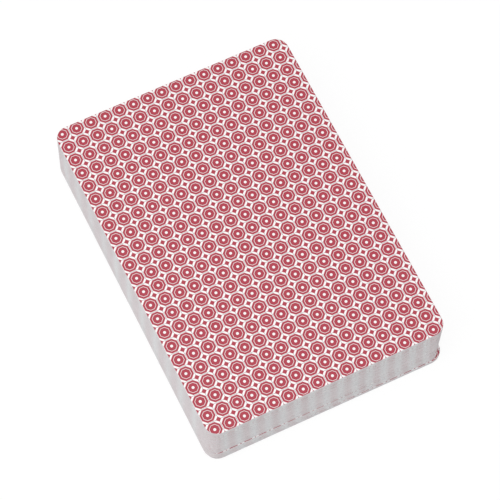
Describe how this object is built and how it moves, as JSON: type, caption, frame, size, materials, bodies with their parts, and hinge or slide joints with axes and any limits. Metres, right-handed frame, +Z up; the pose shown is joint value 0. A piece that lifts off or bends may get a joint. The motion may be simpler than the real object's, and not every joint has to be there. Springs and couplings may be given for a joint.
{
  "type": "playing card deck",
  "caption": "Squared-up deck of poker-size playing cards lying back up, every card separate, with a red and white octagon tile pattern on the backs.",
  "frame": {"origin": "on the underside of the bottom card, at the middle of the deck's outline", "axes": "+Z up through the deck towards the back of the top card, +Y along the cards' long sides, +X along their short sides"},
  "size_m": [0.0642, 0.0888, 0.0181],
  "materials": {
    "card_stock": "coated card with a satin varnish; red and white octagon tiles printed to the edge of the back, rank and suit in red or black on a white face, pale grey cut edges"
  },
  "bodies": {
    "ace_of_spades": {"ace_of_spades": "card_stock"},
    "two_of_spades": {"two_of_spades": "card_stock"},
    "three_of_spades": {"three_of_spades": "card_stock"},
    "four_of_spades": {"four_of_spades": "card_stock"},
    "five_of_spades": {"five_of_spades": "card_stock"},
    "six_of_spades": {"six_of_spades": "card_stock"},
    "seven_of_spades": {"seven_of_spades": "card_stock"},
    "eight_of_spades": {"eight_of_spades": "card_stock"},
    "nine_of_spades": {"nine_of_spades": "card_stock"},
    "ten_of_spades": {"ten_of_spades": "card_stock"},
    "jack_of_spades": {"jack_of_spades": "card_stock"},
    "queen_of_spades": {"queen_of_spades": "card_stock"},
    "king_of_spades": {"king_of_spades": "card_stock"},
    "ace_of_hearts": {"ace_of_hearts": "card_stock"},
    "two_of_hearts": {"two_of_hearts": "card_stock"},
    "three_of_hearts": {"three_of_hearts": "card_stock"},
    "four_of_hearts": {"four_of_hearts": "card_stock"},
    "five_of_hearts": {"five_of_hearts": "card_stock"},
    "six_of_hearts": {"six_of_hearts": "card_stock"},
    "seven_of_hearts": {"seven_of_hearts": "card_stock"},
    "eight_of_hearts": {"eight_of_hearts": "card_stock"},
    "nine_of_hearts": {"nine_of_hearts": "card_stock"},
    "ten_of_hearts": {"ten_of_hearts": "card_stock"},
    "jack_of_hearts": {"jack_of_hearts": "card_stock"},
    "queen_of_hearts": {"queen_of_hearts": "card_stock"},
    "king_of_hearts": {"king_of_hearts": "card_stock"},
    "ace_of_clubs": {"ace_of_clubs": "card_stock"},
    "two_of_clubs": {"two_of_clubs": "card_stock"},
    "three_of_clubs": {"three_of_clubs": "card_stock"},
    "four_of_clubs": {"four_of_clubs": "card_stock"},
    "five_of_clubs": {"five_of_clubs": "card_stock"},
    "six_of_clubs": {"six_of_clubs": "card_stock"},
    "seven_of_clubs": {"seven_of_clubs": "card_stock"},
    "eight_of_clubs": {"eight_of_clubs": "card_stock"},
    "nine_of_clubs": {"nine_of_clubs": "card_stock"},
    "ten_of_clubs": {"ten_of_clubs": "card_stock"},
    "jack_of_clubs": {"jack_of_clubs": "card_stock"},
    "queen_of_clubs": {"queen_of_clubs": "card_stock"},
    "king_of_clubs": {"king_of_clubs": "card_stock"},
    "ace_of_diamonds": {"ace_of_diamonds": "card_stock"},
    "two_of_diamonds": {"two_of_diamonds": "card_stock"},
    "three_of_diamonds": {"three_of_diamonds": "card_stock"},
    "four_of_diamonds": {"four_of_diamonds": "card_stock"},
    "five_of_diamonds": {"five_of_diamonds": "card_stock"},
    "six_of_diamonds": {"six_of_diamonds": "card_stock"},
    "seven_of_diamonds": {"seven_of_diamonds": "card_stock"},
    "eight_of_diamonds": {"eight_of_diamonds": "card_stock"},
    "nine_of_diamonds": {"nine_of_diamonds": "card_stock"},
    "ten_of_diamonds": {"ten_of_diamonds": "card_stock"},
    "jack_of_diamonds": {"jack_of_diamonds": "card_stock"},
    "queen_of_diamonds": {"queen_of_diamonds": "card_stock"},
    "king_of_diamonds": {"king_of_diamonds": "card_stock"},
    "black_joker": {"black_joker": "card_stock"},
    "red_joker": {"red_joker": "card_stock"}
  },
  "joints": [
    {"name": "two_of_spades_slide", "type": "slide", "parent": "ace_of_spades", "child": "two_of_spades", "axis": [1, 0, 0], "range_m": [0, 0.066]},
    {"name": "three_of_spades_slide", "type": "slide", "parent": "ace_of_spades", "child": "three_of_spades", "axis": [1, 0, 0], "range_m": [0, 0.066]},
    {"name": "four_of_spades_slide", "type": "slide", "parent": "ace_of_spades", "child": "four_of_spades", "axis": [1, 0, 0], "range_m": [0, 0.066]},
    {"name": "five_of_spades_slide", "type": "slide", "parent": "ace_of_spades", "child": "five_of_spades", "axis": [1, 0, 0], "range_m": [0, 0.066]},
    {"name": "six_of_spades_slide", "type": "slide", "parent": "ace_of_spades", "child": "six_of_spades", "axis": [1, 0, 0], "range_m": [0, 0.066]},
    {"name": "seven_of_spades_slide", "type": "slide", "parent": "ace_of_spades", "child": "seven_of_spades", "axis": [1, 0, 0], "range_m": [0, 0.066]},
    {"name": "eight_of_spades_slide", "type": "slide", "parent": "ace_of_spades", "child": "eight_of_spades", "axis": [1, 0, 0], "range_m": [0, 0.066]},
    {"name": "nine_of_spades_slide", "type": "slide", "parent": "ace_of_spades", "child": "nine_of_spades", "axis": [1, 0, 0], "range_m": [0, 0.066]},
    {"name": "ten_of_spades_slide", "type": "slide", "parent": "ace_of_spades", "child": "ten_of_spades", "axis": [1, 0, 0], "range_m": [0, 0.066]},
    {"name": "jack_of_spades_slide", "type": "slide", "parent": "ace_of_spades", "child": "jack_of_spades", "axis": [1, 0, 0], "range_m": [0, 0.066]},
    {"name": "queen_of_spades_slide", "type": "slide", "parent": "ace_of_spades", "child": "queen_of_spades", "axis": [1, 0, 0], "range_m": [0, 0.066]},
    {"name": "king_of_spades_slide", "type": "slide", "parent": "ace_of_spades", "child": "king_of_spades", "axis": [1, 0, 0], "range_m": [0, 0.066]},
    {"name": "ace_of_hearts_slide", "type": "slide", "parent": "ace_of_spades", "child": "ace_of_hearts", "axis": [1, 0, 0], "range_m": [0, 0.066]},
    {"name": "two_of_hearts_slide", "type": "slide", "parent": "ace_of_spades", "child": "two_of_hearts", "axis": [1, 0, 0], "range_m": [0, 0.066]},
    {"name": "three_of_hearts_slide", "type": "slide", "parent": "ace_of_spades", "child": "three_of_hearts", "axis": [1, 0, 0], "range_m": [0, 0.066]},
    {"name": "four_of_hearts_slide", "type": "slide", "parent": "ace_of_spades", "child": "four_of_hearts", "axis": [1, 0, 0], "range_m": [0, 0.066]},
    {"name": "five_of_hearts_slide", "type": "slide", "parent": "ace_of_spades", "child": "five_of_hearts", "axis": [1, 0, 0], "range_m": [0, 0.066]},
    {"name": "six_of_hearts_slide", "type": "slide", "parent": "ace_of_spades", "child": "six_of_hearts", "axis": [1, 0, 0], "range_m": [0, 0.066]},
    {"name": "seven_of_hearts_slide", "type": "slide", "parent": "ace_of_spades", "child": "seven_of_hearts", "axis": [1, 0, 0], "range_m": [0, 0.066]},
    {"name": "eight_of_hearts_slide", "type": "slide", "parent": "ace_of_spades", "child": "eight_of_hearts", "axis": [1, 0, 0], "range_m": [0, 0.066]},
    {"name": "nine_of_hearts_slide", "type": "slide", "parent": "ace_of_spades", "child": "nine_of_hearts", "axis": [1, 0, 0], "range_m": [0, 0.066]},
    {"name": "ten_of_hearts_slide", "type": "slide", "parent": "ace_of_spades", "child": "ten_of_hearts", "axis": [1, 0, 0], "range_m": [0, 0.066]},
    {"name": "jack_of_hearts_slide", "type": "slide", "parent": "ace_of_spades", "child": "jack_of_hearts", "axis": [1, 0, 0], "range_m": [0, 0.066]},
    {"name": "queen_of_hearts_slide", "type": "slide", "parent": "ace_of_spades", "child": "queen_of_hearts", "axis": [1, 0, 0], "range_m": [0, 0.066]},
    {"name": "king_of_hearts_slide", "type": "slide", "parent": "ace_of_spades", "child": "king_of_hearts", "axis": [1, 0, 0], "range_m": [0, 0.066]},
    {"name": "ace_of_clubs_slide", "type": "slide", "parent": "ace_of_spades", "child": "ace_of_clubs", "axis": [1, 0, 0], "range_m": [0, 0.066]},
    {"name": "two_of_clubs_slide", "type": "slide", "parent": "ace_of_spades", "child": "two_of_clubs", "axis": [1, 0, 0], "range_m": [0, 0.066]},
    {"name": "three_of_clubs_slide", "type": "slide", "parent": "ace_of_spades", "child": "three_of_clubs", "axis": [1, 0, 0], "range_m": [0, 0.066]},
    {"name": "four_of_clubs_slide", "type": "slide", "parent": "ace_of_spades", "child": "four_of_clubs", "axis": [1, 0, 0], "range_m": [0, 0.066]},
    {"name": "five_of_clubs_slide", "type": "slide", "parent": "ace_of_spades", "child": "five_of_clubs", "axis": [1, 0, 0], "range_m": [0, 0.066]},
    {"name": "six_of_clubs_slide", "type": "slide", "parent": "ace_of_spades", "child": "six_of_clubs", "axis": [1, 0, 0], "range_m": [0, 0.066]},
    {"name": "seven_of_clubs_slide", "type": "slide", "parent": "ace_of_spades", "child": "seven_of_clubs", "axis": [1, 0, 0], "range_m": [0, 0.066]},
    {"name": "eight_of_clubs_slide", "type": "slide", "parent": "ace_of_spades", "child": "eight_of_clubs", "axis": [1, 0, 0], "range_m": [0, 0.066]},
    {"name": "nine_of_clubs_slide", "type": "slide", "parent": "ace_of_spades", "child": "nine_of_clubs", "axis": [1, 0, 0], "range_m": [0, 0.066]},
    {"name": "ten_of_clubs_slide", "type": "slide", "parent": "ace_of_spades", "child": "ten_of_clubs", "axis": [1, 0, 0], "range_m": [0, 0.066]},
    {"name": "jack_of_clubs_slide", "type": "slide", "parent": "ace_of_spades", "child": "jack_of_clubs", "axis": [1, 0, 0], "range_m": [0, 0.066]},
    {"name": "queen_of_clubs_slide", "type": "slide", "parent": "ace_of_spades", "child": "queen_of_clubs", "axis": [1, 0, 0], "range_m": [0, 0.066]},
    {"name": "king_of_clubs_slide", "type": "slide", "parent": "ace_of_spades", "child": "king_of_clubs", "axis": [1, 0, 0], "range_m": [0, 0.066]},
    {"name": "ace_of_diamonds_slide", "type": "slide", "parent": "ace_of_spades", "child": "ace_of_diamonds", "axis": [1, 0, 0], "range_m": [0, 0.066]},
    {"name": "two_of_diamonds_slide", "type": "slide", "parent": "ace_of_spades", "child": "two_of_diamonds", "axis": [1, 0, 0], "range_m": [0, 0.066]},
    {"name": "three_of_diamonds_slide", "type": "slide", "parent": "ace_of_spades", "child": "three_of_diamonds", "axis": [1, 0, 0], "range_m": [0, 0.066]},
    {"name": "four_of_diamonds_slide", "type": "slide", "parent": "ace_of_spades", "child": "four_of_diamonds", "axis": [1, 0, 0], "range_m": [0, 0.066]},
    {"name": "five_of_diamonds_slide", "type": "slide", "parent": "ace_of_spades", "child": "five_of_diamonds", "axis": [1, 0, 0], "range_m": [0, 0.066]},
    {"name": "six_of_diamonds_slide", "type": "slide", "parent": "ace_of_spades", "child": "six_of_diamonds", "axis": [1, 0, 0], "range_m": [0, 0.066]},
    {"name": "seven_of_diamonds_slide", "type": "slide", "parent": "ace_of_spades", "child": "seven_of_diamonds", "axis": [1, 0, 0], "range_m": [0, 0.066]},
    {"name": "eight_of_diamonds_slide", "type": "slide", "parent": "ace_of_spades", "child": "eight_of_diamonds", "axis": [1, 0, 0], "range_m": [0, 0.066]},
    {"name": "nine_of_diamonds_slide", "type": "slide", "parent": "ace_of_spades", "child": "nine_of_diamonds", "axis": [1, 0, 0], "range_m": [0, 0.066]},
    {"name": "ten_of_diamonds_slide", "type": "slide", "parent": "ace_of_spades", "child": "ten_of_diamonds", "axis": [1, 0, 0], "range_m": [0, 0.066]},
    {"name": "jack_of_diamonds_slide", "type": "slide", "parent": "ace_of_spades", "child": "jack_of_diamonds", "axis": [1, 0, 0], "range_m": [0, 0.066]},
    {"name": "queen_of_diamonds_slide", "type": "slide", "parent": "ace_of_spades", "child": "queen_of_diamonds", "axis": [1, 0, 0], "range_m": [0, 0.066]},
    {"name": "king_of_diamonds_slide", "type": "slide", "parent": "ace_of_spades", "child": "king_of_diamonds", "axis": [1, 0, 0], "range_m": [0, 0.066]},
    {"name": "black_joker_slide", "type": "slide", "parent": "ace_of_spades", "child": "black_joker", "axis": [1, 0, 0], "range_m": [0, 0.066]},
    {"name": "red_joker_slide", "type": "slide", "parent": "ace_of_spades", "child": "red_joker", "axis": [1, 0, 0], "range_m": [0, 0.066]}
  ]
}
